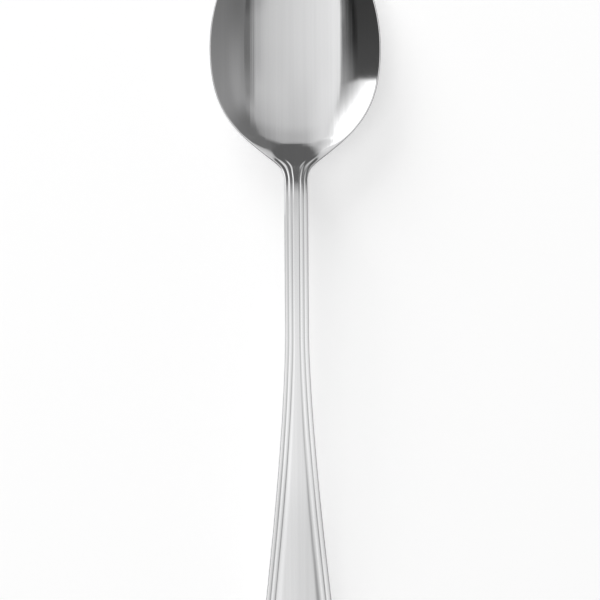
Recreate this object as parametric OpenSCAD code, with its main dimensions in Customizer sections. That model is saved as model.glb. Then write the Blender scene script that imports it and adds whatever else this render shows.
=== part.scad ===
// Soup spoon of forged stainless steel, lying on its bowl and its handle's end.
// X runs across, Y runs along the spoon with the bowl at +Y, and Z is up.
// The origin is the centre of the box that the spoon fills, on the table.
// One set of formulas gives the outline, the top and the underside all along it.
// Each sub-part is the stretch of that body between two sections across it.

/* [Overall] */
// Length from the tip of the bowl to the end of the handle
spoon_l = 200; // [170:1:240]

/* [Bowl] */
// Width across the widest line of the bowl
bowl_w = 42; // [34:1:50]
// Length from the widest line to the tip
bowl_front_l = 33.5; // [28:0.5:42]
// Length from the widest line back to the heel
bowl_back_l = 32.5; // [26:0.5:38]
// Depth of the hollow below the rim
bowl_depth = 7.8; // [5:0.1:11]
// Rise of the rim from the widest line to the tip
tip_rise = 0.7; // [0:0.1:3]
// Wall at the rim, measured upright
rim_t = 1.3; // [0.8:0.1:2.5]
// Wall at the floor of the bowl
floor_t = 1.7; // [1:0.1:3]
// Width over which the hollow runs out onto the rim beside the heel
roll_w = 8; // [1:0.1:10]

/* [Neck] */
// Width of the neck
neck_w = 6; // [5:0.1:8]
// Thickness of the neck
neck_t = 3.4; // [2.4:0.1:5]
// Softness of the corner where the neck spreads into the bowl
shoulder = 2.4; // [1.6:0.1:4]
// Length over which the neck climbs out of the bowl
drop_l = 22; // [14:1:26]
// Radius of the curve in which the neck runs out into the hollow
heel_r = 12; // [8:0.5:30]
// Length of the neck, from the heel to where the handle starts to widen
neck_l = 37.5; // [28:0.5:48]

/* [Handle] */
// Height of the handle's line at the heel
shank_h = 16.6; // [13:0.1:19]
// Height that the arch of the handle is drawn towards
arch_h = 21.8; // [17:0.1:26]
// Thickness of the handle at its end
end_t = 2; // [1.4:0.1:3]
// Width that the sides widen to at the end, before the end is rounded
flare_w = 24.7; // [20:0.1:30]
// Greatest width that the rounded end allows
end_w = 21.2; // [16:0.1:26]
// Length of the rounding at the end
end_l = 14; // [11:0.5:24]
// Radius of the panel's crown, across the handle
crown_r = 40; // [30:1:120]

/* [Threads] */
// Height of each raised thread at the neck
thread_neck = 0.12; // [0:0.01:0.2]
// Height of each raised thread at the end
thread_end = 0.16; // [0:0.01:0.3]
// Inner edge of the outer thread, from the side of the neck
outer_neck = 1.1; // [0.8:0.05:1.4]
// Inner edge of the outer thread, from the side of the handle's end
outer_end = 1.4; // [1:0.05:1.8]
// Inner edge of the inner thread, from the side of the neck
inner_neck = 2.1; // [1.6:0.05:2.3]
// Inner edge of the inner thread, from the side of the handle's end
inner_end = 2.7; // [2.2:0.05:3.2]
// Width of the slope from the inner thread up to the panel, at the neck
bank_neck = 0.4; // [0.3:0.05:0.8]
// Width of the slope from the inner thread up to the panel, at the end
bank_end = 2.4; // [1:0.05:3]
// Rise of the panel above the groove round it, at the neck
panel_neck = 0.08; // [0:0.01:0.2]
// Rise of the panel above the groove round it, at the end
panel_end = 0.27; // [0:0.01:0.6]
// Length of the threads ahead of the heel
thread_lead = 6.5; // [4:0.5:8]
// Length over which they fade out there
thread_run = 3; // [1.5:0.5:4]

/* [Edges] */
// Radius that rounds the upper edge of the rim
edge_top_r = 0.5; // [0.3:0.05:0.7]
// Radius that rounds the upper edge of the neck and the handle
edge_side_r = 0.25; // [0.15:0.05:0.4]
// Radius that rounds the lower edge of the rim
edge_low_r = 0.6; // [0.3:0.05:1]
// Radius that rounds the lower edge of the neck and the handle
edge_neck_r = 1.3; // [0.6:0.05:1.6]

/* [Resting] */
// How far the worn resting spots are taken into the curved underside
wear = 0.16; // [0.1:0.01:0.25]

/* [Hidden] */
steel = [0.78, 0.78, 0.79];

// Places along the spoon
tip_y = spoon_l / 2;
end_y = -spoon_l / 2;
wide_y = tip_y - bowl_front_l;
heel_y = wide_y - bowl_back_l;
flare_y = heel_y - neck_l;
seam_y = heel_y - drop_l / 10;

// Height of the rim at the widest line, with the worn belly at zero
rim_h = bowl_depth + floor_t - wear;

// Half widths that the soft corner between bowl and neck starts from
neck_core = neck_w / 2 - shoulder * shoulder / (2 * neck_w);
bowl_core = bowl_w / 2 - shoulder * shoulder / (4 * (bowl_w / 2 - neck_core));

// Shape numbers of the outline: exponent, and share of the fourth power
front_curve_shares = [0.55, -0.1];
back_curve_shares = [1.54, 0.69];
end_curve_share = 0.53;
flare_power = 1.45;
join_power = 8;

// Share of the neck's climb that lies ahead of the heel
ahead_share = 0.44;

// Exponent that starts the climb out of the bowl sooner than it ends it
climb_power = 0.8;

// Fullness of the bowl: 0 makes every section across it a parabola
full_share = 0.08;

// Level of the edge's outermost line, down from the top as a share of the wall: at the rim and on the neck
edge_level_shares = [0.45, 0.22];

// Heights that draw the arch, after the first: shares of the arch's height
arch_shares = [0.8, 1, 0.64];

// Where the roll beside the heel starts and is full, ahead of the heel, over the length of the bowl's back
roll_shares = [0.45, 0.05];

// How soon the roll gives way to the hollow
roll_rate = 2.5;

// Where a section has its points: across the rounded edge, a thread, the bank and the panel
edge_shares = [0, 0.06, 0.35, 1];
thread_shares = [1 / 3, 2 / 3, 1];
bank_shares = [0.5, 1];
panel_shares = [-0.75, -0.5, -0.25, 0, 0.25, 0.5, 0.75];

// Largest share of the half width that the edge, threads and bank may take
border_share = 0.94;

// Half step for measuring how fast the outline widens
probe = spoon_l / 20000;

// Distance of the first and last sections from the very tip and end
blunt = spoon_l / 6000;

// Side of the block that takes off the worn spots
block = 2 * spoon_l;

// Steps between sections
front_steps = 16;
back_steps = 24;
neck_steps = 22;
handle_steps = 32;
end_steps = 12;

function clamp01(t) = min(1, max(0, t));

function mix(a, b, t) = a + (b - a) * t;

function smooth(t) = let (u = clamp01(t)) u * u * u * (10 + u * (6 * u - 15));

// Oval curve: 1 at the widest line and 0 at its end
function oval(t, curve) = pow(max(0, 1 - (1 - curve[1]) * t * t - curve[1] * pow(t, 4)), curve[0]);

// 0 over the bowl and 1 over the neck and handle, along the middle
function past_bowl(y) = smooth(pow(clamp01((heel_y + ahead_share * drop_l - y) / drop_l), climb_power));

// The same at x across, so that the neck ends in a curve
function past(x, y) = past_bowl(y + x * x / (2 * heel_r));

// 0 over the bowl and 1 where the threads have their full height
function threaded(y) = smooth((heel_y + thread_lead - y) / thread_run);

// 0 at the neck and 1 at the end of the handle
function along(y) = clamp01((flare_y - y) / (flare_y - end_y));

// Half width of the neck and handle before the bowl joins it
function flare_hw(y) = neck_core + (flare_w / 2 - neck_core) * pow(along(y), flare_power);

// Half width of the rounded end
function round_hw(y) =
    let (t = clamp01((end_y + end_l - y) / end_l))
    end_w / 2 * pow(max(0, 1 - t * t), end_curve_share);

// The larger of two half widths, with a soft corner where they cross
function join(a, b) = (a + b + sqrt((a - b) * (a - b) + shoulder * shoulder)) / 2;

// The smaller of two half widths, with a soft corner where they cross
function meet(a, b) = b <= 0 ? 0 : a / pow(1 + pow(a / b, join_power), 1 / join_power);

// Half width of the bowl ahead of its widest line, and behind it before the neck joins
function front_hw(y) = bowl_w / 2 * oval((y - wide_y) / bowl_front_l, front_curve_shares);
function back_hw(y) = bowl_core * oval(min(1, (wide_y - y) / bowl_back_l), back_curve_shares);

// Half width of the spoon before its end is rounded, and as it is
function body_hw(y) =
    y >= wide_y ? front_hw(y) : join(y >= flare_y ? back_hw(y) : 0, flare_hw(y));
function half_w(y) = y >= flare_y ? body_hw(y) : meet(body_hw(y), round_hw(y));

// Length of the outline's slanting line for each unit along X
function slant(y) =
    let (rate = (half_w(y + probe) - half_w(y - probe)) / (2 * probe))
    sqrt(1 + rate * rate);

// Curve drawn towards a row of heights, all its slopes even
function pull(h, t) =
    len(h) == 1 ? h[0]
    : pull([for (i = [1:len(h) - 1]) mix(h[i - 1], h[i], t)], t);

// Side line: the rim over the bowl, then the top of the neck and of the handle
function rim_line(y) = rim_h + tip_rise * pow((y - wide_y) / bowl_front_l, 2);
function arch_line(y) =
    let (heights = concat([shank_h], arch_shares * arch_h, [end_t - wear, end_t - wear]))
    pull(heights, (heel_y - y) / (heel_y - end_y));
function side_line(x, y) = mix(rim_line(y), arch_line(y), past(x, y));

// Depth of the dish at x, where its rim stands at half width w
function dish(x, w) =
    let (q = max(0, w * w - x * x) / pow(bowl_w / 2, 2))
    q * (1 + full_share * (1 - q));

// Width of the roll between the rim and the full hollow, which stays above zero
function roll(y) =
    let (from = heel_y + roll_shares[0] * bowl_back_l)
    let (to = heel_y + roll_shares[1] * bowl_back_l)
    max(probe, roll_w * smooth((from - y) / (from - to)));

// 0 at the rim and close to 1 from t = 1 on
function runout(t) = 1 - exp(-roll_rate * t);

// One thread: a round ridge between two distances from the side
function ridge(d, from, to) = d <= from || d >= to ? 0 : sin(180 * (d - from) / (to - from));

// Height of a thread
function thread_h(y) = mix(thread_neck, thread_end, along(y));

// Distances from the side: the groove inside each thread, and the bank's width
function outer(y) = mix(outer_neck, outer_end, along(y));
function inner(y) = mix(inner_neck, inner_end, along(y));
function bank(y) = mix(bank_neck, bank_end, along(y));

// Height of the panel at share t of the way over the bank
function panel(y, t) = mix(panel_neck, panel_end, along(y)) * smooth(t);

// Height of the panel's crown at x
function crown(x, w, y) = max(0, pow(max(0, w - inner(y)), 2) - x * x) / (2 * crown_r);

// Height added by the threads and the panel at distance d from the side
function relief(d, x, w, y) =
    let (threads = ridge(d, 0, outer(y)) + ridge(d, outer(y), inner(y)))
    threaded(y) * (threads * thread_h(y) + panel(y, (d - inner(y)) / bank(y)) + crown(x, w, y));

// Upper and lower faces before the edges are rounded
function upper(x, d, w, y) =
    side_line(x, y) - bowl_depth * dish(x, w) * runout(d / roll(y)) * (1 - past(x, y)) + relief(d, x, w, y);
function lower(x, w, y) =
    side_line(x, y) - mix(rim_t, mix(neck_t, end_t, along(y)), past(x, y))
    - (bowl_depth + floor_t - rim_t) * dish(x, w) * (1 - past(x, y));

// Radius of the upper edge
function edge_r(y) = mix(edge_top_r, edge_side_r, past_bowl(y));

// Quarter round: 0 at the very edge and 1 from r inwards
function rounding(d, r) = sqrt(1 - pow(1 - clamp01(d / r), 2));

// Height of a point on the top or the underside
function face_z(x, w, y, n, top) =
    let (d = max(0, w - abs(x)) / n)
    let (u = upper(x, d, w, y))
    let (l = lower(x, w, y))
    let (edge = mix(u, l, mix(edge_level_shares[0], edge_level_shares[1], past_bowl(y))))
    top ? mix(edge, u, rounding(d, edge_r(y)))
    : mix(edge, l, rounding(d, mix(edge_low_r, edge_neck_r, past_bowl(y))));

// Distances of a section's points from the side, before they are squeezed to fit
function border(y) = concat(
    edge_shares * edge_r(y),
    [for (s = thread_shares) mix(edge_r(y), outer(y), s)],
    [for (s = thread_shares) mix(outer(y), inner(y), s)],
    [for (s = bank_shares) inner(y) + s * bank(y)]);

// Places across a section, from the left side to the right
function across(y) =
    let (w = half_w(y))
    let (steps = border(y) * slant(y))
    let (last = len(steps) - 1)
    let (fit = min(1, border_share * w / steps[last]))
    let (middle = w - steps[last] * fit)
    concat(
        [for (s = steps) s * fit - w],
        [for (s = panel_shares) s * middle],
        [for (i = [0:last]) w - steps[last - i] * fit]);

// A ring of points round the section at y: the top from left to right, then the underside
function ring(y) =
    let (w = half_w(y))
    let (n = slant(y))
    let (xs = across(y))
    let (last = len(xs) - 1)
    concat(
        [for (x = xs) [x, y, face_z(x, w, y, n, true)]],
        [for (i = [1:last - 1]) [xs[i], y, face_z(xs[i], w, y, n, false)]]);

across_n = 2 * (len(edge_shares) + 2 * len(thread_shares) + len(bank_shares)) + len(panel_shares);
ring_n = 2 * across_n - 2;

// Index of the underside's point below top point i; the two side points are shared
function below(i) = i == 0 || i == across_n - 1 ? i : across_n - 1 + i;

// Two triangles over the four points a, b, c and d
function quad(a, b, c, d) = [[a, b, c], [a, c, d]];

// Closed body through the sections at the listed places, which run towards -Y
module loft(ys) {
    rings = len(ys);
    last = (rings - 1) * ring_n;
    pts = [for (y = ys) each ring(y)];
    skin = [for (k = [0:rings - 2], i = [0:across_n - 2])
        let (p = k * ring_n, q = p + ring_n)
        each concat(
            quad(p + i, p + i + 1, q + i + 1, q + i),
            quad(p + below(i), q + below(i), q + below(i + 1), p + below(i + 1)))];
    ends = [for (i = [0:across_n - 2])
        each concat(
            end_strip(0, i, i + 1),
            end_strip(last, i + 1, i))];
    polyhedron(pts, concat(skin, ends));
}

// Part of an end face, between top points i and j and the points below them
function end_strip(p, i, j) =
    below(i) == i ? [[p + i, p + below(j), p + j]]
    : below(j) == j ? [[p + i, p + below(i), p + j]]
    : quad(p + i, p + below(i), p + below(j), p + j);

// Takes off what reaches below the table
module worn() {
    difference() {
        children();
        translate([-block / 2, -block / 2, -block]) cube(block);
    }
}

function spaced(from, to, steps) = [for (i = [0:steps]) mix(from, to, i / steps)];

bowl_ys = concat(
    [tip_y - blunt],
    [for (i = [1:front_steps]) wide_y + bowl_front_l * cos(90 * i / front_steps)],
    [for (i = [1:back_steps]) mix(wide_y, seam_y, i / back_steps)]);
neck_ys = spaced(seam_y, flare_y, neck_steps);
handle_ys = concat(
    spaced(flare_y, end_y + end_l, handle_steps),
    [for (i = [1:end_steps - 1]) end_y + end_l * (1 - sin(90 * i / end_steps))],
    [end_y + blunt]);

// The oval bowl, with its rim and heel
module bowl() {
    color(steel) worn() loft(bowl_ys);
}

// The narrow neck, where the threads run onto the heel
module neck() {
    color(steel) loft(neck_ys);
}

// The arched handle, with two threads along each side and a raised panel
module handle() {
    color(steel) worn() loft(handle_ys);
}

bowl();
neck();
handle();
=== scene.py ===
import math

import bmesh
import bpy
import numpy as np
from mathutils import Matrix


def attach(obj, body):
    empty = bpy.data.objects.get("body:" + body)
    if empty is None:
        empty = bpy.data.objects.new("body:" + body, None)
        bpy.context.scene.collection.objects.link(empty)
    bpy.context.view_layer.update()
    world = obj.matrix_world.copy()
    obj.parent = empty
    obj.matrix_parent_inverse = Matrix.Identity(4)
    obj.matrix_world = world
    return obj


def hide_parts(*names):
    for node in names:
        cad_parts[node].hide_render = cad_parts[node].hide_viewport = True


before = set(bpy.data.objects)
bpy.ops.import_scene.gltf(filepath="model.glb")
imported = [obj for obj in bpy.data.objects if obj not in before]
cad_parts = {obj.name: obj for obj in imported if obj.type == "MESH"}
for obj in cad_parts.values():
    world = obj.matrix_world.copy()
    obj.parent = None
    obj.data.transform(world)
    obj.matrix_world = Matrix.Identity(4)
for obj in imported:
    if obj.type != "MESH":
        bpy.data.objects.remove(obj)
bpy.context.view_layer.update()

bl_info = {
    "name": "Soup Spoon",
    "version": (1, 0, 0),
    "blender": (4, 5, 0),
    "location": "3D View > Sidebar > Spoon",
    "description": "A forged steel soup spoon in three zones, with its steel finishes and a plain studio",
    "category": "Add Mesh",
}

MM = 0.001


def length(name, description, mm):
    """A length property whose default is given in millimetres."""
    return bpy.props.FloatProperty(
        name=name, description=description, default=mm * MM, min=0.0,
        subtype="DISTANCE", unit="LENGTH", precision=5)


def offset(name, description, mm):
    """A place along an axis, on either side of nought, whose default is given in millimetres."""
    return bpy.props.FloatProperty(
        name=name, description=description, default=mm * MM, subtype="DISTANCE", unit="LENGTH", precision=5)


def share(name, description, default):
    """A plain number between nought and one."""
    return bpy.props.FloatProperty(name=name, description=description, default=default, min=0.0, max=1.0)


def level(name, description, default):
    """The brightness of a card or lamp, where 1 looks white."""
    return bpy.props.FloatProperty(name=name, description=description, default=default, min=0.0)


def shade(name, description, grey):
    """A colour property, neutral grey by default."""
    return bpy.props.FloatVectorProperty(
        name=name, description=description, default=grey, size=3, min=0.0, max=1.0, subtype="COLOR")


class SpoonSizes(bpy.types.PropertyGroup):
    """Sizes of the spoon, the same as the CAD model's."""
    spoon_l: length("Length", "From the tip of the bowl to the end of the handle", 200)
    bowl_w: length("Bowl Width", "Across the widest line of the bowl", 42)
    bowl_front_l: length("Bowl Front", "From the widest line to the tip", 33.5)
    bowl_back_l: length("Bowl Back", "From the widest line back to the heel", 32.5)
    bowl_depth: length("Bowl Depth", "Depth of the hollow below the rim", 7.8)
    tip_rise: length("Tip Rise", "Rise of the rim from the widest line to the tip", 0.7)
    rim_t: length("Rim Wall", "Wall at the rim, measured upright", 1.3)
    floor_t: length("Floor Wall", "Wall at the floor of the bowl", 1.7)
    roll_w: length("Roll", "Width over which the hollow runs out onto the rim beside the heel", 8)
    neck_w: length("Neck Width", "Width of the neck", 6)
    neck_t: length("Neck Thickness", "Thickness of the neck", 3.4)
    shoulder: length("Shoulder", "Softness of the corner where the neck spreads into the bowl", 2.4)
    drop_l: length("Climb", "Length over which the neck climbs out of the bowl", 22)
    neck_l: length("Neck Length", "From the heel to where the handle starts to widen", 37.5)
    heel_r: length("Heel Curve", "Radius of the curve in which the neck runs out into the hollow", 12)
    shank_h: length("Shank Height", "Height of the handle's line at the heel", 16.6)
    arch_h: length("Arch Height", "Height that the arch of the handle is drawn towards", 21.8)
    end_t: length("End Thickness", "Thickness of the handle at its end", 2)
    flare_w: length("Flare Width", "Width that the sides widen to before the end is rounded", 24.7)
    end_w: length("End Width", "Greatest width that the rounded end allows", 21.2)
    end_l: length("End Length", "Length of the rounding at the end", 14)
    crown_r: length("Crown", "Radius of the panel's crown, across the handle", 40)
    thread_neck: length("Thread Height at Neck", "Height of each raised thread", 0.12)
    thread_end: length("Thread Height at End", "Height of each raised thread", 0.16)
    outer_neck: length("Outer Thread at Neck", "Inner edge of the outer thread, from the side", 1.1)
    outer_end: length("Outer Thread at End", "Inner edge of the outer thread, from the side", 1.4)
    inner_neck: length("Inner Thread at Neck", "Inner edge of the inner thread, from the side", 2.1)
    inner_end: length("Inner Thread at End", "Inner edge of the inner thread, from the side", 2.7)
    bank_neck: length("Bank at Neck", "Width of the slope from the inner thread up to the panel", 0.4)
    bank_end: length("Bank at End", "Width of the slope from the inner thread up to the panel", 2.4)
    panel_neck: length("Panel Height at Neck", "Rise of the panel above the groove round it", 0.08)
    panel_end: length("Panel Height at End", "Rise of the panel above the groove round it", 0.27)
    thread_lead: length("Thread Lead", "Length of the threads ahead of the heel", 6.5)
    thread_run: length("Thread Fade", "Length over which the threads fade out there", 3)
    edge_top_r: length("Upper Rim Edge", "Radius that rounds the upper edge of the rim", 0.5)
    edge_side_r: length("Upper Side Edge", "Radius that rounds the upper edge of the neck and handle", 0.25)
    edge_low_r: length("Lower Rim Edge", "Radius that rounds the lower edge of the rim", 0.6)
    edge_neck_r: length("Lower Neck Edge", "Radius that rounds the lower edge of the handle", 1.3)
    wear: length("Wear", "How far the worn resting spots reach into the underside", 0.16)


class SpoonFinish(bpy.types.PropertyGroup):
    """Colours and polish of the steel."""
    # The bowl's steel colour is darker than the handle's: painted shade standing in for the hollow's dimmer
    # reflections
    bowl_colour_painted_shade: shade("Bowl Steel", "Colour of the steel in the bowl", (0.66, 0.66, 0.665))
    handle_colour: shade("Handle Steel", "Colour of the steel on the neck and handle", (0.80, 0.80, 0.805))
    line_colour: shade("Polishing Lines", "Colour of the fine lines in the steel", (0.45, 0.45, 0.455))
    bowl_polish: share("Bowl Roughness", "Roughness of the polished bowl", 0.09)
    handle_polish: share("Handle Roughness", "Roughness of the neck and handle", 0.12)
    line_slope: share("Line Slope", "Steepness of the polishing lines", 0.012)


class SpoonStudio(bpy.types.PropertyGroup):
    """The floor, the cards that the steel reflects, the lamps and the camera."""
    camera_up: length("Camera Height", "Height of the camera above the table", 2000)
    view_l: length("View Length", "Length of table that the picture's height covers", 146.7)
    view_y: offset("View Middle", "Place of the picture's middle along the spoon", 4.9)
    view_x: offset("View Aside", "Place of the picture's middle across the spoon", 0.76)
    view_roll: bpy.props.FloatProperty(
        name="View Turn", description="Turn of the picture about the line of sight",
        default=math.radians(-0.37), subtype="ANGLE", unit="ROTATION")
    room_h: length("Room Height", "Height of the ceiling card", 1200)
    ceiling: level("Ceiling Card", "Brightness of the soft box overhead", 0.965)
    ceiling_lean: level("Ceiling Lean", "How much brighter the soft box is at its left side", 0.3)
    ceiling_far: level("Ceiling Far Lean", "How much darker the soft box is beyond the bowl", 0.11)
    wall_right: level("Right Card", "Brightness of the grey card at the right", 0.25)
    wall_left: level("Left Card", "Brightness of the dark card at the left", 0.06)
    wall_front: level("Front Card", "Brightness of the grey card beyond the bowl", 0.16)
    wall_back: level("Back Card", "Brightness of the card beyond the handle", 0.4)
    glint: level("Glint", "Greatest brightness of the white light on the left card", 1.8)
    floor_colour: shade("Floor", "Colour of the floor", (0.86, 0.86, 0.86))
    floor_glow: level("Floor Glow", "Part of the floor's white that needs no lamp", 0.437)
    air_light: level("Air Light", "Light that comes from all round", 0.34)
    air_seen: level("Air", "Brightness of the air where it is seen", 1.0)


class Form:
    """The surfaces of the spoon, from the same formulas as the CAD model's. Lengths are in metres."""
    # Powers and fullness of the bowl's front and back curves, and the power of the rounded end's
    front_curve = (0.55, -0.1)
    back_curve = (1.54, 0.69)
    end_curve = 0.53
    # How late the handle widens, and how sharply its sides meet the rounded end
    flare_power = 1.45
    join_power = 8
    # How far ahead of the heel the climb starts, in lengths of the climb, and how late it rises
    ahead = 0.44
    climb_power = 0.8
    # How full the hollow is across
    full = 0.08
    # Where the edge lies between the top, 0, and the underside, 1, at the rim and on the neck
    rim_level = 0.45
    neck_level = 0.22
    # Heights that the arch is drawn towards, in arch heights
    arch_pulls = (0.8, 1.0, 0.64)
    # Where the roll starts and is full, in bowl back lengths ahead of the heel, and how fast it drops
    roll_places = (0.45, 0.05)
    roll_rate = 2.5
    # How far behind the heel the bowl ends and the neck starts, in lengths of the climb
    seam_share = 0.1
    # Step over which a slope is measured, in spoon lengths, and the least width that is divided by
    probe_share = 0.00005
    least = 1e-9

    def __init__(self, size):
        for name in SpoonSizes.__annotations__:
            setattr(self, name, getattr(size, name))
        self.tip_y = self.spoon_l / 2
        self.end_y = -self.spoon_l / 2
        self.wide_y = self.tip_y - self.bowl_front_l
        self.heel_y = self.wide_y - self.bowl_back_l
        self.flare_y = self.heel_y - self.neck_l
        self.seam_y = self.heel_y - self.seam_share * self.drop_l
        self.rim_h = self.bowl_depth + self.floor_t - self.wear
        self.neck_core = self.neck_w / 2 - self.shoulder ** 2 / (2 * self.neck_w)
        self.bowl_core = self.bowl_w / 2 - self.shoulder ** 2 / (4 * (self.bowl_w / 2 - self.neck_core))
        self.probe = self.probe_share * self.spoon_l

    @staticmethod
    def clamp(t):
        """A value held between 0 and 1."""
        return np.clip(t, 0.0, 1.0)

    @staticmethod
    def mix(a, b, t):
        """A value on the way from a to b."""
        return a + (b - a) * t

    @classmethod
    def smooth(cls, t):
        """An even step from 0 to 1 that starts and stops without a bend."""
        u = cls.clamp(t)
        return u ** 3 * (10 + u * (6 * u - 15))

    @staticmethod
    def oval(t, curve):
        """Half width of a rounded shape at t, where 0 is its widest line and 1 its tip."""
        return np.maximum(0, 1 - (1 - curve[1]) * t ** 2 - curve[1] * t ** 4) ** curve[0]

    def past_bowl(self, y):
        """0 in the bowl and 1 where the neck has climbed out of it, on the middle line."""
        climbed = self.clamp((self.heel_y + self.ahead * self.drop_l - y) / self.drop_l)
        return self.smooth(climbed ** self.climb_power)

    def past(self, x, y):
        """The same at any place, so that the hollow ends in a curve."""
        return self.past_bowl(y + x ** 2 / (2 * self.heel_r))

    def threaded(self, y):
        """1 where the threads have their full height and 0 ahead of them."""
        return self.smooth((self.heel_y + self.thread_lead - y) / self.thread_run)

    def along(self, y):
        """0 where the handle starts to widen and 1 at its end."""
        return self.clamp((self.flare_y - y) / (self.flare_y - self.end_y))

    def join(self, a, b):
        """The larger of two widths, with the corner between them softened."""
        return (a + b + np.sqrt((a - b) ** 2 + self.shoulder ** 2)) / 2

    def body_hw(self, y):
        """Half width before the end is rounded."""
        front = self.bowl_w / 2 * self.oval((y - self.wide_y) / self.bowl_front_l, self.front_curve)
        back = self.bowl_core * self.oval(self.clamp((self.wide_y - y) / self.bowl_back_l), self.back_curve)
        flare = self.neck_core + (self.flare_w / 2 - self.neck_core) * self.along(y) ** self.flare_power
        behind = self.join(np.where(y >= self.flare_y, back, 0), flare)
        return np.where(y >= self.wide_y, front, behind)

    def half_w(self, y):
        """Half width of the spoon."""
        body = self.body_hw(y)
        t = self.clamp((self.end_y + self.end_l - y) / self.end_l)
        end = self.end_w / 2 * np.maximum(0, 1 - t ** 2) ** self.end_curve
        met = body / (1 + (body / np.maximum(end, self.least)) ** self.join_power) ** (1 / self.join_power)
        return np.where(y >= self.flare_y, body, np.where(end <= 0, 0, met))

    def slant(self, y):
        """How much longer a step across is than the distance from the side that it gains."""
        rate = (self.half_w(y + self.probe) - self.half_w(y - self.probe)) / (2 * self.probe)
        return np.sqrt(1 + rate ** 2)

    def side_line(self, x, y):
        """Height of the rim, and past the bowl of the handle's arch."""
        rim = self.rim_h + self.tip_rise * ((y - self.wide_y) / self.bowl_front_l) ** 2
        last = self.end_t - self.wear
        pulls = [self.shank_h, *(s * self.arch_h for s in self.arch_pulls), last, last]
        t = (self.heel_y - y) / (self.heel_y - self.end_y)
        top = len(pulls) - 1
        arch = sum(math.comb(top, k) * (1 - t) ** (top - k) * t ** k * h for k, h in enumerate(pulls))
        return self.mix(rim, arch, self.past(x, y))

    def dish(self, x, w):
        """Depth of the hollow across the bowl, as a share of its greatest."""
        q = np.maximum(0, w * w - x * x) / (self.bowl_w / 2) ** 2
        return q * (1 + self.full * (1 - q))

    def roll(self, y):
        """Width of the roll between the rim and the full hollow."""
        start, stop = (self.heel_y + s * self.bowl_back_l for s in self.roll_places)
        return np.maximum(self.probe, self.roll_w * self.smooth((start - y) / (start - stop)))

    def edge_r(self, y):
        """Radius that rounds the upper edge."""
        return self.mix(self.edge_top_r, self.edge_side_r, self.past_bowl(y))

    def groove(self, kind, y):
        """A size of the threads, the bank or the panel, which grows evenly from the neck to the end."""
        return self.mix(getattr(self, kind + "_neck"), getattr(self, kind + "_end"), self.along(y))

    def runout(self, t):
        """0 at the rim and close to 1 from t = 1 on."""
        return 1 - np.exp(-self.roll_rate * t)

    @staticmethod
    def ridge(d, start, stop):
        """Height of one rounded thread, as a share of its greatest."""
        return np.where((d > start) & (d < stop), np.sin(math.pi * (d - start) / (stop - start)), 0)

    def relief(self, d, x, w, y):
        """Height of the threads and the crowned panel."""
        kinds = ("outer", "inner", "bank", "panel", "thread")
        outer, inner, bank, rise, thread = (self.groove(kind, y) for kind in kinds)
        threads = self.ridge(d, 0, outer) + self.ridge(d, outer, inner)
        crown = np.maximum(0, np.maximum(0, w - inner) ** 2 - x ** 2) / (2 * self.crown_r)
        return self.threaded(y) * (threads * thread + rise * self.smooth((d - inner) / bank) + crown)

    @classmethod
    def rounding(cls, d, r):
        """A quarter circle: 0 at the side and 1 from the radius on."""
        return np.sqrt(1 - (1 - cls.clamp(d / r)) ** 2)

    def height(self, x, y, d, top):
        """Height of the top, or where top is false of the underside, at distance d from the side."""
        w = self.half_w(y)
        past = self.past(x, y)
        hollow = self.dish(x, w) * (1 - past)
        line = self.side_line(x, y)
        upper = line - self.bowl_depth * hollow * self.runout(d / self.roll(y)) + self.relief(d, x, w, y)
        wall = self.mix(self.rim_t, self.mix(self.neck_t, self.end_t, self.along(y)), past)
        lower = line - wall - (self.bowl_depth + self.floor_t - self.rim_t) * hollow
        level = self.mix(self.rim_level, self.neck_level, self.past_bowl(y))
        edge = self.mix(upper, lower, level)
        over = self.mix(edge, upper, self.rounding(d, self.edge_r(y)))
        low_r = self.mix(self.edge_low_r, self.edge_neck_r, self.past_bowl(y))
        under = self.mix(edge, lower, self.rounding(d, low_r))
        return np.where(top, over, np.maximum(0, under))


# Steps of the skin's mesh: across the middle, along the sides, and over each band beside the edge
MIDDLE_STEPS = 48
SIDE_STEPS = 420
BANK_STEPS = 8
THREAD_STEPS = 10
ROUND_STEPS = 8
UNDER_STEPS = 3
# Largest share of the half width that the edge band may take
BAND_SHARE = 0.94
# How far from the first row and from the last the rows across still bend with the outline
FRONT_FADE = 28 * MM
END_FADE = 16 * MM
# Steps in which the outline is measured before the mesh's points are laid out on it
CURVE_STEPS = 4000
RUN_STEPS = 8000
# How much closer the rows stand at the heel, and over what length
HEEL_CROWD = 1.2
HEEL_SPAN = 12 * MM
# Where the handle's widest line is looked for, in lengths of the rounded end
WIDEST_SHARES = (1.6, 0.2)
# Points nearer than this are merged
SAME_PLACE = 1e-7
# A face that closes a cut looks this squarely along the spoon and has more corners than this
CUT_FACING = 0.9999
CUT_CORNERS = 20
# What each point of the laid out skin remembers, and what each point of its border has
LABELS = ("column", "row", "line", "under")
BORDER = ("x", "y", "nx", "ny")
MIRRORED = ("x", "nx")


def quarter(steps):
    """Places from 0 to 1 that step evenly round a quarter circle, fine at 0."""
    return 1 - np.cos(np.linspace(0, math.pi / 2, steps + 1))


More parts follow.
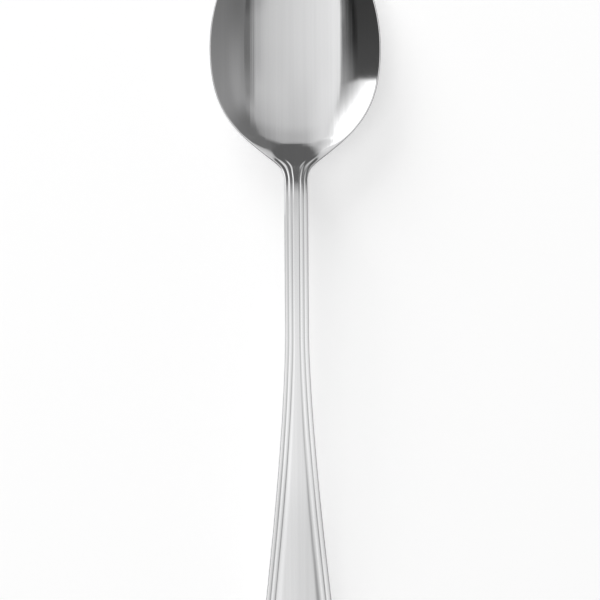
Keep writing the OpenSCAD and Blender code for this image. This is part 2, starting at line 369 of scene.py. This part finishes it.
def band_distances(form, y):
    """Distance from the side of every line of the edge band, from the middle out, over the edge and under.
    Gives an array of lines by places, and which lines are on top."""
    outer, inner, bank = (form.groove(k, y) for k in ("outer", "inner", "bank"))
    round_top = form.edge_r(y)
    round_low = form.mix(form.edge_low_r, form.edge_neck_r, form.past_bowl(y))
    lines = [inner + bank * s for s in np.linspace(1, 0, BANK_STEPS + 1)]
    lines += [form.mix(inner, outer, s) for s in np.linspace(0, 1, THREAD_STEPS + 1)[1:]]
    lines += [form.mix(outer, round_top, s) for s in np.linspace(0, 1, THREAD_STEPS + 1)[1:]]
    lines += [round_top * s for s in quarter(ROUND_STEPS)[::-1][1:]]
    tops = len(lines)
    lines += [round_low * s for s in quarter(ROUND_STEPS)[1:]]
    lines += [form.mix(round_low, inner + bank, s) for s in np.linspace(0, 1, UNDER_STEPS + 1)[1:]]
    return np.array(lines), np.arange(len(lines)) < tops


def outline(form):
    """The closed outline from the left end of the tip's curve round the tip, down the right side, round the
    end and up the left side, as places, inward directions and the scale of a distance along them."""
    fine = np.linspace(0, math.pi / 2, CURVE_STEPS + 1)

    def curve(middle_y, reach, steps):
        """Points of one rounded end on the right side, with normals, from where it turns to its middle."""
        y = middle_y + reach * np.sin(fine)
        x = form.half_w(np.clip(y, form.end_y, form.tip_y))
        x[-1] = 0
        dx, dy = np.gradient(x), np.gradient(y)
        size = np.hypot(dx, dy)
        side = 1 if reach > 0 else -1
        nx, ny = -side * dy / size, side * dx / size
        nx[-1], ny[-1] = 0, -side
        nx[0], ny[0] = -1, 0
        turn = np.argmax(np.abs(ny) > math.sqrt(0.5))
        run = np.concatenate([[0], np.cumsum(np.hypot(np.diff(x), np.diff(y)))])
        at = np.linspace(run[turn], run[-1], steps + 1)
        return y[turn], [np.interp(at, run, v) for v in (x, y, nx, ny)], (y, nx, ny)

    half = MIDDLE_STEPS // 2
    front_y, front, front_fine = curve(form.wide_y, form.bowl_front_l, half)
    first, last = (form.end_y + form.end_l * s for s in WIDEST_SHARES)
    broad = np.linspace(first, last, CURVE_STEPS + 1)
    broad_y = broad[np.argmax(form.half_w(broad))]
    end_y, end, end_fine = curve(broad_y, form.end_y - broad_y, half)
    dense = np.linspace(front_y, end_y, RUN_STEPS + 1)
    weight = 1 + HEEL_CROWD * np.exp(-((dense - form.heel_y) / HEEL_SPAN) ** 2)
    run = np.concatenate([[0], np.cumsum(weight[1:])])
    y = np.interp(np.linspace(0, run[-1], SIDE_STEPS + 1), run, dense)
    x = form.half_w(y)
    nx, ny = -np.ones_like(y), np.zeros_like(y)
    scale = form.slant(y)
    for curved, fine_curve in ((y > form.wide_y, front_fine), (y < broad_y, end_fine)):
        order = np.argsort(fine_curve[0])
        nx[curved] = np.interp(y[curved], fine_curve[0][order], fine_curve[1][order])
        ny[curved] = np.interp(y[curved], fine_curve[0][order], fine_curve[2][order])
        scale[curved] = 1
    return {"side": (x, y, nx, ny), "scale": scale, "front": front, "end": end}


def mark(mesh, label, value):
    """Writes a label on the selected points of the skin in edit mode."""
    drawn = bmesh.from_edit_mesh(mesh)
    tag = drawn.verts.layers.int[label]
    for vert in drawn.verts:
        if vert.select:
            vert[tag] = value


def join_blank(form):
    """Lays out the whole spoon as one closed skin. A flat grid is the middle of the top. Its border is drawn
    out line by line over the edge and under, and a copy of the grid closes the underside."""
    bpy.ops.object.select_all(action="DESELECT")
    bpy.ops.mesh.primitive_grid_add(x_subdivisions=MIDDLE_STEPS, y_subdivisions=SIDE_STEPS, size=1.0)
    blank = bpy.context.object
    mesh = blank.data
    flat = np.empty(len(mesh.vertices) * 3)
    mesh.vertices.foreach_get("co", flat)
    flat = flat.reshape(-1, 3)
    column = np.rint((flat[:, 0] + 0.5) * MIDDLE_STEPS)
    row = np.rint((0.5 - flat[:, 1]) * SIDE_STEPS)
    for name, values in zip(LABELS, (column, row, np.zeros(len(flat)), np.zeros(len(flat)))):
        mesh.attributes.new(name, "INT", "POINT").data.foreach_set("value", values.astype(np.int32))
    distances, _ = band_distances(form, np.array([form.wide_y]))
    bpy.ops.object.mode_set(mode="EDIT")
    bpy.ops.mesh.select_mode(type="EDGE")
    bpy.ops.mesh.select_all(action="DESELECT")
    bpy.ops.mesh.select_non_manifold()
    for line in range(1, len(distances)):
        bpy.ops.mesh.extrude_region_move()
        mark(mesh, "line", line)
    bpy.ops.mesh.select_mode(type="FACE")
    bpy.ops.mesh.select_all(action="DESELECT")
    drawn = bmesh.from_edit_mesh(mesh)
    tag = drawn.verts.layers.int["line"]
    for face in drawn.faces:
        face.select_set(all(vert[tag] == 0 for vert in face.verts))
    bmesh.update_edit_mesh(mesh)
    bpy.ops.mesh.duplicate()
    mark(mesh, "under", 1)
    bmesh.update_edit_mesh(mesh)
    bpy.ops.mesh.flip_normals()
    bpy.ops.object.mode_set(mode="OBJECT")
    return blank


def read_labels(mesh):
    """The grid column and row of every point, its line beyond the border, and 1 for the grid underneath."""
    labels = []
    for name in LABELS:
        values = np.empty(len(mesh.vertices), np.int32)
        mesh.attributes[name].data.foreach_get("value", values)
        labels.append(values)
    return labels


def border_grids(shape):
    """Places, inward directions and scales round the grid's border, each as an array of rows by columns."""
    size = (SIDE_STEPS + 1, MIDDLE_STEPS + 1)
    half = MIDDLE_STEPS // 2
    grids = {"scale": np.ones(size)}
    grids["scale"][:, 0] = grids["scale"][:, -1] = shape["scale"]
    for index, name in enumerate(BORDER):
        left = -1 if name in MIRRORED else 1
        grid = np.zeros(size)
        grid[:, -1] = shape["side"][index]
        grid[:, 0] = left * shape["side"][index]
        for row, end in ((0, shape["front"]), (-1, shape["end"])):
            grid[row, half:] = end[index][::-1]
            grid[row, :half + 1] = left * end[index]
        grids[name] = grid
    return grids


def middle_grid(form, border, first, rows_y):
    """Places of the skin's middle, in straight rows across that bend with the outline near its ends."""
    inner_x = border["x"] + border["nx"] * first[:, None] * border["scale"]
    inner_y = border["y"] + border["ny"] * first[:, None] * border["scale"]
    x = inner_x[:, :1] + (inner_x[:, -1:] - inner_x[:, :1]) * np.linspace(0, 1, MIDDLE_STEPS + 1)
    y = np.repeat(inner_y[:, :1], MIDDLE_STEPS + 1, axis=1)
    for row, fade in ((0, FRONT_FADE), (-1, END_FADE)):
        felt = 1 - form.smooth(np.abs(rows_y - rows_y[row]) / fade)
        bend_x = inner_x[row] - x[row]
        bend_y = inner_y[row] - y[row]
        x += felt[:, None] * bend_x
        y += felt[:, None] * bend_y
    return x, y


def press_blank(form, blank):
    """Moves every point of the laid out skin onto the spoon's surfaces and closes the seam underneath."""
    mesh = blank.data
    column, row, line, under = read_labels(mesh)
    shape = outline(form)
    border = border_grids(shape)
    side_x, rows_y = shape["side"][:2]
    distances, tops = band_distances(form, rows_y)
    distances *= np.minimum(1, BAND_SHARE * side_x / (distances[0] * shape["scale"]))
    d = distances[line, row]
    at = {name: grid[row, column] for name, grid in border.items()}
    x = at["x"] + at["nx"] * d * at["scale"]
    y = at["y"] + at["ny"] * d * at["scale"]
    middle = line == 0
    mid_x, mid_y = middle_grid(form, border, distances[0], rows_y)
    x[middle] = mid_x[row[middle], column[middle]]
    y[middle] = mid_y[row[middle], column[middle]]
    reach = np.abs(border["x"][row[middle], -1]) - np.abs(x[middle])
    d[middle] = np.maximum(d[middle], reach / shape["scale"][row[middle]])
    on_top = np.where(middle, under == 0, tops[line])
    z = form.height(x, y, d, on_top)
    mesh.vertices.foreach_set("co", np.column_stack([x, y, z]).ravel())
    mesh.update()
    bpy.ops.object.mode_set(mode="EDIT")
    bpy.ops.mesh.select_mode(type="VERT")
    bpy.ops.mesh.select_all(action="SELECT")
    bpy.ops.mesh.remove_doubles(threshold=SAME_PLACE)
    bpy.ops.mesh.normals_make_consistent(inside=False)
    bpy.ops.object.mode_set(mode="OBJECT")
    for name in LABELS:
        mesh.attributes.remove(mesh.attributes[name])
    normals = np.empty(len(mesh.vertices) * 3, np.float32)
    mesh.vertex_normals.foreach_get("vector", normals)
    mesh.attributes.new("true_normal", "FLOAT_VECTOR", "POINT").data.foreach_set("vector", normals)


def forge(form):
    """The whole spoon as one closed skin, made once and kept for the other zones."""
    kept = bpy.data.objects.get("blank")
    if kept is None:
        kept = join_blank(form)
        press_blank(form, kept)
        kept.name = "blank"
    return kept


def cut_zone(form, name, front, back):
    """One zone of the spoon between two planes across it, closed where it was cut. None leaves an end whole.
    Its points keep the whole skin's normals, so that no seam shows in the light."""
    zone = forge(form).copy()
    zone.data = zone.data.copy()
    zone.name = zone.data.name = name
    bpy.context.scene.collection.objects.link(zone)
    bpy.ops.object.select_all(action="DESELECT")
    zone.select_set(True)
    bpy.context.view_layer.objects.active = zone
    bpy.ops.object.mode_set(mode="EDIT")
    for at, keeps_front in ((front, False), (back, True)):
        if at is not None:
            bpy.ops.mesh.select_all(action="SELECT")
            bpy.ops.mesh.bisect(plane_co=(0, at, 0), plane_no=(0, 1, 0), use_fill=True,
                                clear_outer=not keeps_front, clear_inner=keeps_front, threshold=SAME_PLACE)
    bpy.ops.object.mode_set(mode="OBJECT")
    bpy.ops.object.shade_smooth()
    mesh = zone.data
    true = np.empty(len(mesh.vertices) * 3, np.float32)
    mesh.attributes["true_normal"].data.foreach_get("vector", true)
    true = true.reshape(-1, 3)
    corners = np.empty(len(mesh.loops), np.int32)
    mesh.loops.foreach_get("vertex_index", corners)
    split = true[corners]
    for face in mesh.polygons:
        if abs(face.normal.y) > CUT_FACING and len(face.vertices) > CUT_CORNERS:
            split[face.loop_start:face.loop_start + face.loop_total] = face.normal
    mesh.attributes.remove(mesh.attributes["true_normal"])
    mesh.normals_split_custom_set(split)
    return zone


class Wire:
    """A shader value: sums and products of wires and numbers add Math nodes."""

    def __init__(self, net, socket):
        self.net = net
        self.socket = socket

    def __add__(self, other):
        return self.net.math("ADD", self, other)

    def __sub__(self, other):
        return self.net.math("SUBTRACT", self, other)

    def __rsub__(self, other):
        return self.net.math("SUBTRACT", other, self)

    def __mul__(self, other):
        return self.net.math("MULTIPLY", self, other)

    def __truediv__(self, other):
        return self.net.math("DIVIDE", self, other)

    def __pow__(self, other):
        return self.net.math("POWER", self, other)

    def highest(self, other):
        return self.net.math("MAXIMUM", self, other)

    def lowest(self, other):
        return self.net.math("MINIMUM", self, other)

    def size(self):
        return self.net.math("ABSOLUTE", self)

    def ramp(self, start, full):
        """0 up to start, 1 from full on, and smooth between. Full may also be the lower of the two."""
        return self.net.add("ShaderNodeMapRange", {"interpolation_type": "SMOOTHSTEP"},
                            {"Value": self, "From Min": start, "From Max": full})

    __radd__ = __add__
    __rmul__ = __mul__


class Net:
    """The nodes of one material, world or lamp."""

    def __init__(self, owner):
        owner.use_nodes = True
        self.tree = owner.node_tree
        self.tree.nodes.clear()

    def place(self, kind, settings=None, inputs=None):
        """A node of any kind. Its settings come first, then its inputs, which are values or wires."""
        node = self.tree.nodes.new(kind)
        for name, value in (settings or {}).items():
            setattr(node, name, value)
        for name, value in (inputs or {}).items():
            if isinstance(value, Wire):
                self.tree.links.new(value.socket, node.inputs[name])
            else:
                node.inputs[name].default_value = value
        return node

    def add(self, kind, settings=None, inputs=None, output=0):
        """A node as above, for the sake of one output."""
        return Wire(self, self.place(kind, settings, inputs).outputs[output])

    def math(self, operation, *values):
        return self.add("ShaderNodeMath", {"operation": operation}, dict(enumerate(values)))

    def blend(self, share_of_second, first, second):
        """A colour between two colours."""
        sockets = {0: share_of_second, 6: first, 7: second}
        return self.add("ShaderNodeMix", {"data_type": "RGBA"}, sockets, output=2)

    def seen(self):
        """1 on rays that show a thing to the camera, straight, mirrored or through glass, and 0 on others."""
        path = self.place("ShaderNodeLightPath")
        camera, glossy, through = (
            Wire(self, path.outputs[f"Is {kind} Ray"]) for kind in ("Camera", "Glossy", "Transmission"))
        return camera.highest(glossy).highest(through)


def rgba(colour):
    """The colour as a socket takes it."""
    return (*colour, 1.0)


WHITE = (1.0, 1.0, 1.0, 1.0)
# Polishing lines to a metre, across the spoon and along it, and the clouds of the polish to a metre
BROAD_LINES = (700, 5)
FINE_LINES = (2600, 12)
CLOUDS = 60
# Middle value of a noise
EVEN = 0.5
# How much the lines show in the colour, and how much of their colour is there without them
BROAD_SHOWN = 0.25
FINE_SHOWN = 0.15
ALL_SHOWN = 0.06
# How much the fine lines and the clouds change the roughness
FINE_ROUGH = 0.05
CLOUD_ROUGH = 0.04
# Where the bowl's painted shade gives way to the handle's lighter colour: where the handle's colour begins
# and is full, in neck lengths behind the heel
PAINTED_SHADE_SHARES = (0.1, 1.1)
# Where the handle's polish is full and where it ends, in lengths of the climb behind the heel
POLISH_SHARES = (0.5, -0.2)


def steel(name, finish, form):
    """Polished steel with fine lengthwise lines. The bowl's colour is darker than the handle's, as painted
    shade for the hollow's dimmer reflections. The bowl's colour and polish give way to the handle's at the
    neck, so that the zones match where they meet."""
    material = bpy.data.materials.new(name)
    net = Net(material)
    place = net.add("ShaderNodeTexCoord", output="Object")
    y = net.add("ShaderNodeSeparateXYZ", inputs={0: place}, output="Y")

    def lines(across, lengthwise):
        scale = (across, lengthwise, lengthwise)
        stretched = net.add("ShaderNodeMapping", inputs={"Vector": place, "Scale": scale})
        return net.add("ShaderNodeTexNoise", {"noise_dimensions": "3D"},
                       {"Vector": stretched, "Scale": 1.0, "Detail": 2.0, "Roughness": 0.55})

    broad = lines(*BROAD_LINES)
    fine = lines(*FINE_LINES)
    cloud = net.add("ShaderNodeTexNoise", inputs={"Vector": place, "Scale": CLOUDS, "Detail": 3.0})
    # Painted shade: the bowl's darker steel colour gives way to the handle's lighter one behind the heel
    past_painted_shade = y.ramp(*(form.heel_y - s * form.neck_l for s in PAINTED_SHADE_SHARES))
    colour = net.blend(past_painted_shade, rgba(finish.bowl_colour_painted_shade), rgba(finish.handle_colour))
    shown = (broad - EVEN) * BROAD_SHOWN + (fine - EVEN) * FINE_SHOWN + ALL_SHOWN
    streaked = net.blend(shown, colour, rgba(finish.line_colour))
    bowl_share = y.ramp(*(form.heel_y - s * form.drop_l for s in POLISH_SHARES))
    rough = bowl_share * (finish.bowl_polish - finish.handle_polish) + finish.handle_polish
    rough = rough + (fine - EVEN) * FINE_ROUGH + (cloud - EVEN) * CLOUD_ROUGH
    wave = broad / BROAD_LINES[0] + fine / FINE_LINES[0]
    bump = net.add("ShaderNodeBump", output="Normal",
                   inputs={"Strength": 1.0, "Distance": finish.line_slope, "Height": wave})
    shader = net.add("ShaderNodeBsdfPrincipled", inputs={
        "Base Color": streaked, "Metallic": 1.0, "Roughness": rough, "Normal": bump})
    net.place("ShaderNodeOutputMaterial", inputs={"Surface": shader})
    return material


class SpoonPiece:
    """What the three zones' operators share."""
    bl_options = {"REGISTER", "UNDO"}

    def make(self, context, node, slot, front, back):
        form = Form(context.scene.spoon_sizes)
        zone = cut_zone(form, node + "_skin", front(form), back(form))
        finish = "finished_" + slot
        material = bpy.data.materials.get(finish) or steel(finish, context.scene.spoon_finish, form)
        zone.data.materials.clear()
        zone.data.materials.append(material)
        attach(zone, "root")
        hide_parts(node)
        return {"FINISHED"}


class SPOON_OT_bowl(SpoonPiece, bpy.types.Operator):
    """Make the dished bowl with its rim and heel"""
    bl_idname = "spoon.bowl"
    bl_label = "Bowl"

    def execute(self, context):
        return self.make(context, "bowl", "bowl_steel", lambda form: None, lambda form: form.seam_y)


class SPOON_OT_neck(SpoonPiece, bpy.types.Operator):
    """Make the narrow neck with the threads that run onto the heel"""
    bl_idname = "spoon.neck"
    bl_label = "Neck"

    def execute(self, context):
        return self.make(context, "neck", "handle_steel", lambda form: form.seam_y, lambda form: form.flare_y)


class SPOON_OT_handle(SpoonPiece, bpy.types.Operator):
    """Make the arched handle with its threads and panel"""
    bl_idname = "spoon.handle"
    bl_label = "Handle"

    def execute(self, context):
        return self.make(context, "handle", "handle_steel", lambda form: form.flare_y, lambda form: None)


# The room's walls and ends, in heights of the room from the middle of the spoon's box
ROOM_LEFT = -0.90
ROOM_RIGHT = 1.05
ROOM_NEAR = -1.7
ROOM_FAR = 1.7


class Patch:
    """A patch that makes a card brighter or darker. Each span says where the patch starts and where it is
    full, in heights of the room, and may go on with where it begins to fade and where it ends."""

    def __init__(self, amount, across=None, along=None, up=None):
        self.amount = amount
        self.spans = (across, along, up)

    def on(self, places):
        """The patch's amount at the places across, along and up."""
        shown = self.amount
        for value, span in zip(places, self.spans):
            if span is None:
                continue
            start, full, *rest = span
            shown = value.ramp(start, full) * shown
            if rest:
                fading, end = rest
                shown = value.ramp(end, fading) * shown
        return shown


def total(patches, places):
    """All the patches' amounts together."""
    return sum(patch.on(places) for patch in patches.values())


# Light added to the far part of the ceiling
CEILING_ADDED = {
    "middle": Patch(0.09, across=(-0.05, 0.3), along=(0.1, 0.6)),
    "left": Patch(0.08, across=(-0.2, -0.5), along=(0.1, 0.6)),
    "left_side": Patch(-0.1, across=(-0.65, -0.95), along=(0.1, 0.6)),
    "all": Patch(-0.035, along=(0.1, 0.6)),
}
# Shares of the ceiling's light that are taken away
CEILING_TAKEN = {
    "right": Patch(0.18, across=(0.45, 0.75), along=(0.5, 0.1)),
    "near_right": Patch(0.12, across=(0.4, 0.7), along=(-0.18, -0.35)),
    "left_edge": Patch(0.36, across=(-0.83, -0.9), along=(-0.15, 0.05, 0.25, 0.45)),
    "far_end": Patch(0.36, across=(-0.7, -0.1), along=(1.2, 1.65)),
    "far_right": Patch(-0.14, across=(0.15, 0.4), along=(1.2, 1.65)),
}
CEILING_NEAR_END = Patch(0.12, along=(-0.44, -0.58))
# The ceiling's dark right side, and how much further out it lies far, near and everywhere
CEILING_SIDE = Patch(0.5, across=(0.72, 0.92), along=(1.1, 0.55))
CEILING_SIDE_MOVED = {
    "far": Patch(0.1, along=(0.35, 0.85)),
    "near": Patch(0.05, along=(-0.1, -0.4)),
}
CEILING_SIDE_OUT = -0.01


def ceiling_light(studio, x, y, z):
    """A soft box that is brightest at its left and fades towards its right side and its ends."""
    places = (x, y, z)
    lit = studio.ceiling - x * studio.ceiling_lean - y.highest(0) * studio.ceiling_far
    lit = lit + total(CEILING_ADDED, places)
    moved = total(CEILING_SIDE_MOVED, places) + CEILING_SIDE_OUT
    taken = total(CEILING_TAKEN, places) + CEILING_SIDE.on((x - moved, y, z))
    return lit * (1 - taken) * (1 - CEILING_NEAR_END.on(places))


# Light added to the right card
RIGHT_ADDED = {
    "middle": Patch(0.13, along=(-0.35, 0.45, 0.6, 1.15)),
    "middle_high": Patch(0.11, along=(-0.35, 0.45, 0.6, 1.15), up=(0.52, 0.72, 0.82, 1.02)),
    "upper_half": Patch(-0.03, up=(0.45, 0.75)),
    "far_top": Patch(0.25, along=(0.6, 1.15, 1.3, 1.55), up=(0.8, 0.98)),
    "near_top": Patch(0.03, along=(0.4, 0.1), up=(0.8, 0.98)),
}


def right_light(studio, x, y, z):
    """A grey wall, lightest in its middle and at its far top."""
    return total(RIGHT_ADDED, (x, y, z)) + studio.wall_right


# Light added to the left card
LEFT_ADDED = {
    "far": Patch(0.04, along=(-0.3, 0.4)),
    "dark_line": Patch(-0.05, up=(0.58, 0.66, 0.66, 0.76)),
    "top": Patch(0.22, up=(0.70, 1.05)),
    "far_high": Patch(0.2, along=(0.0, 0.42), up=(0.58, 0.72)),
    "top_edge": Patch(-0.06, up=(0.85, 1.0)),
    "near_top": Patch(0.35, along=(-0.1, -0.4), up=(0.85, 1.0)),
    "near_top_edge": Patch(0.5, along=(-0.08, -0.25), up=(0.93, 1.0)),
    "foot": Patch(0.5, up=(0.22, 0.04)),
}


class Glint:
    """The white light on the far part of the left card. Its places are in heights of the room."""
    # Where it starts and where it is full along the card, at the height start_up
    start = (0.25, 0.29)
    start_up = 0.3
    # How much further along it starts with height, and how much more so above bend_up
    start_lean = 0.14
    bend_up = 0.55
    bend_lean = 0.26
    # Its brightness at one place along and up, how fast it grows beyond, and where it is fully grown
    along = 0.45
    up = 0.75
    level = 0.685
    growth = 1.45
    grown = 1.2
    # The power by which it falls with height, and the least share of it that is left
    fall = -2.1
    least = 0.68

    @classmethod
    def share(cls, y, z):
        """0 on the dark part of the card and 1 on the white part, which starts further out with height."""
        start = (z - cls.start_up) * cls.start_lean + (z - cls.bend_up).highest(0) * cls.bend_lean
        return (y - start).ramp(*cls.start)

    @classmethod
    def white(cls, y, z):
        """Brightness that grows along the card and falls with height."""
        grown = (y.lowest(cls.grown) - cls.along) * cls.growth + cls.level
        return grown * ((z / cls.up) ** cls.fall).highest(cls.least)


def left_light(studio, x, y, z):
    """A dark wall that gives way to a white light at its far part."""
    dark = total(LEFT_ADDED, (x, y, z)) + studio.wall_left
    lit = Glint.share(y, z) * (Glint.white(y, z) - dark) + dark
    return lit.highest(0).lowest(studio.glint)


# Light added to the front card
FRONT_ADDED = {
    "left_top": Patch(0.2, across=(-0.68, -0.43, -0.33, -0.08), up=(0.55, 0.85)),
    "left_corner": Patch(0.12, across=(-0.4, -0.55), up=(0.8, 0.98)),
    "right_top": Patch(0.15, across=(0.35, 0.5, 0.75, 0.9), up=(0.8, 0.95)),
    "right": Patch(0.06, across=(0.5, 0.75)),
}
# Where the front card begins to brighten towards its left, and how fast
FRONT_LEFT = -0.275
FRONT_GROWTH = 1.6


def front_light(studio, x, y, z):
    """A grey wall beyond the bowl that brightens towards the left."""
    left = ((FRONT_LEFT - x) * FRONT_GROWTH).highest(0)
    return left + total(FRONT_ADDED, (x, y, z)) + studio.wall_front


def back_light(studio, x, y, z):
    """An even card beyond the handle."""
    return studio.wall_back


def card(name, corners, light, studio):
    """A flat card that only the steel sees. It lights nothing and casts no shadow, and the camera looks
    through it. Its corners and the places that its light depends on are in heights of the room."""
    bpy.ops.object.select_all(action="DESELECT")
    bpy.ops.mesh.primitive_plane_add(size=1.0)
    sheet = bpy.context.object
    sheet.name = sheet.data.name = name
    points = sheet.data.vertices
    order = sorted(range(len(points)), key=lambda i: math.atan2(points[i].co.y, points[i].co.x))
    for index, corner in zip(order, corners):
        points[index].co = [studio.room_h * heights for heights in corner]
    material = bpy.data.materials.new(name)
    net = Net(material)
    place = net.add("ShaderNodeTexCoord", output="Object")
    places = (net.add("ShaderNodeSeparateXYZ", inputs={0: place}, output=axis) for axis in "XYZ")
    x, y, z = (metres * (1 / studio.room_h) for metres in places)
    glow = net.add("ShaderNodeEmission", inputs={"Color": WHITE, "Strength": light(studio, x, y, z)})
    net.place("ShaderNodeOutputMaterial", inputs={"Surface": glow})
    sheet.data.materials.append(material)
    sheet.visible_camera = sheet.visible_diffuse = sheet.visible_shadow = False
    sheet.visible_transmission = sheet.visible_volume_scatter = False


# Each lamp's place and width in metres, and its power in watts
LAMPS = {
    "side_lamp": {"place": (-1.0, 2.0, 0.9), "size": 1.4, "energy": 30},
    "top_lamp": {"place": (-0.45, 0.15, 1.5), "size": 0.8, "energy": 3.3},
}
FLOOR_W = 40
# Width of the camera's sensor in millimetres, the height at which the view is measured, and how far it sees
SENSOR_W = 36.0
VIEW_UP = 10 * MM
SIGHT_L = 100


class SPOON_OT_stage(bpy.types.Operator):
    """Make the floor, the cards, the lamps and the camera"""
    bl_idname = "spoon.stage"
    bl_label = "Stage"
    bl_options = {"REGISTER", "UNDO"}

    def execute(self, context):
        studio = context.scene.spoon_studio
        self.cards(studio)
        self.floor(studio)
        self.air(context, studio)
        self.lamps(context)
        self.camera(context, studio)
        return {"FINISHED"}

    def cards(self, studio):
        left, right, near, far = ROOM_LEFT, ROOM_RIGHT, ROOM_NEAR, ROOM_FAR
        card("ceiling_card", [(left, near, 1), (right, near, 1), (right, far, 1), (left, far, 1)],
             ceiling_light, studio)
        card("right_card", [(right, near, 0), (right, far, 0), (right, far, 1), (right, near, 1)],
             right_light, studio)
        card("left_card", [(left, near, 0), (left, far, 0), (left, far, 1), (left, near, 1)],
             left_light, studio)
        card("front_card", [(left, far, 0), (right, far, 0), (right, far, 1), (left, far, 1)],
             front_light, studio)
        card("back_card", [(left, near, 0), (right, near, 0), (right, near, 1), (left, near, 1)],
             back_light, studio)

    def floor(self, studio):
        bpy.ops.object.select_all(action="DESELECT")
        bpy.ops.mesh.primitive_plane_add(size=FLOOR_W)
        table = bpy.context.object
        table.name = table.data.name = "floor"
        material = bpy.data.materials.new("floor")
        net = Net(material)
        paint = net.add("ShaderNodeBsdfDiffuse", inputs={"Color": rgba(studio.floor_colour)})
        strength = net.seen() * studio.floor_glow
        glow = net.add("ShaderNodeEmission", inputs={"Color": WHITE, "Strength": strength})
        both = net.add("ShaderNodeAddShader", inputs={0: paint, 1: glow})
        net.place("ShaderNodeOutputMaterial", inputs={"Surface": both})
        table.data.materials.append(material)

    def air(self, context, studio):
        world = bpy.data.worlds.new("studio")
        context.scene.world = world
        net = Net(world)
        strength = net.seen() * (studio.air_seen - studio.air_light) + studio.air_light
        air = net.add("ShaderNodeBackground", inputs={"Color": WHITE, "Strength": strength})
        net.place("ShaderNodeOutputWorld", inputs={"Surface": air})

    def lamps(self, context):
        for name, made in LAMPS.items():
            bpy.ops.object.light_add(type="AREA", location=made["place"])
            lamp = context.object
            lamp.name = lamp.data.name = name
            lamp.data.shape = "SQUARE"
            lamp.data.size = made["size"]
            lamp.data.energy = made["energy"]
            lamp.rotation_euler = (-lamp.location).to_track_quat("-Z", "Y").to_euler()
            lamp.visible_glossy = lamp.visible_camera = False

    def camera(self, context, studio):
        data = bpy.data.cameras.new("camera")
        eye = bpy.data.objects.new("camera", data)
        context.scene.collection.objects.link(eye)
        eye.location = (studio.view_x, studio.view_y, studio.camera_up)
        eye.rotation_euler = (0, 0, studio.view_roll)
        data.sensor_fit = "HORIZONTAL"
        data.sensor_width = SENSOR_W
        data.lens = SENSOR_W * (studio.camera_up - VIEW_UP) / studio.view_l
        data.clip_end = SIGHT_L
        context.scene.camera = eye
        context.scene.view_settings.view_transform = "Standard"


class SPOON_PT_panel(bpy.types.Panel):
    """Sizes, finishes and studio of the spoon, with a button for each zone."""
    bl_idname = "SPOON_PT_panel"
    bl_label = "Soup Spoon"
    bl_space_type = "VIEW_3D"
    bl_region_type = "UI"
    bl_category = "Spoon"

    def draw(self, context):
        for operator in OPERATORS:
            self.layout.operator(operator.bl_idname)
        for group in (context.scene.spoon_sizes, context.scene.spoon_finish, context.scene.spoon_studio):
            box = self.layout.box()
            for name in type(group).__annotations__:
                box.prop(group, name)


GROUPS = {"spoon_sizes": SpoonSizes, "spoon_finish": SpoonFinish, "spoon_studio": SpoonStudio}
OPERATORS = (SPOON_OT_bowl, SPOON_OT_neck, SPOON_OT_handle, SPOON_OT_stage)


def register():
    for cls in (*GROUPS.values(), *OPERATORS, SPOON_PT_panel):
        bpy.utils.register_class(cls)
    for name, group in GROUPS.items():
        setattr(bpy.types.Scene, name, bpy.props.PointerProperty(type=group))


def unregister():
    for name in GROUPS:
        delattr(bpy.types.Scene, name)
    for cls in (SPOON_PT_panel, *OPERATORS, *GROUPS.values()):
        bpy.utils.unregister_class(cls)


def main():
    register()
    bpy.ops.spoon.bowl()
    bpy.ops.spoon.neck()
    bpy.ops.spoon.handle()
    bpy.data.objects.remove(bpy.data.objects["blank"])
    bpy.ops.spoon.stage()


if __name__ == "__main__":
    main()
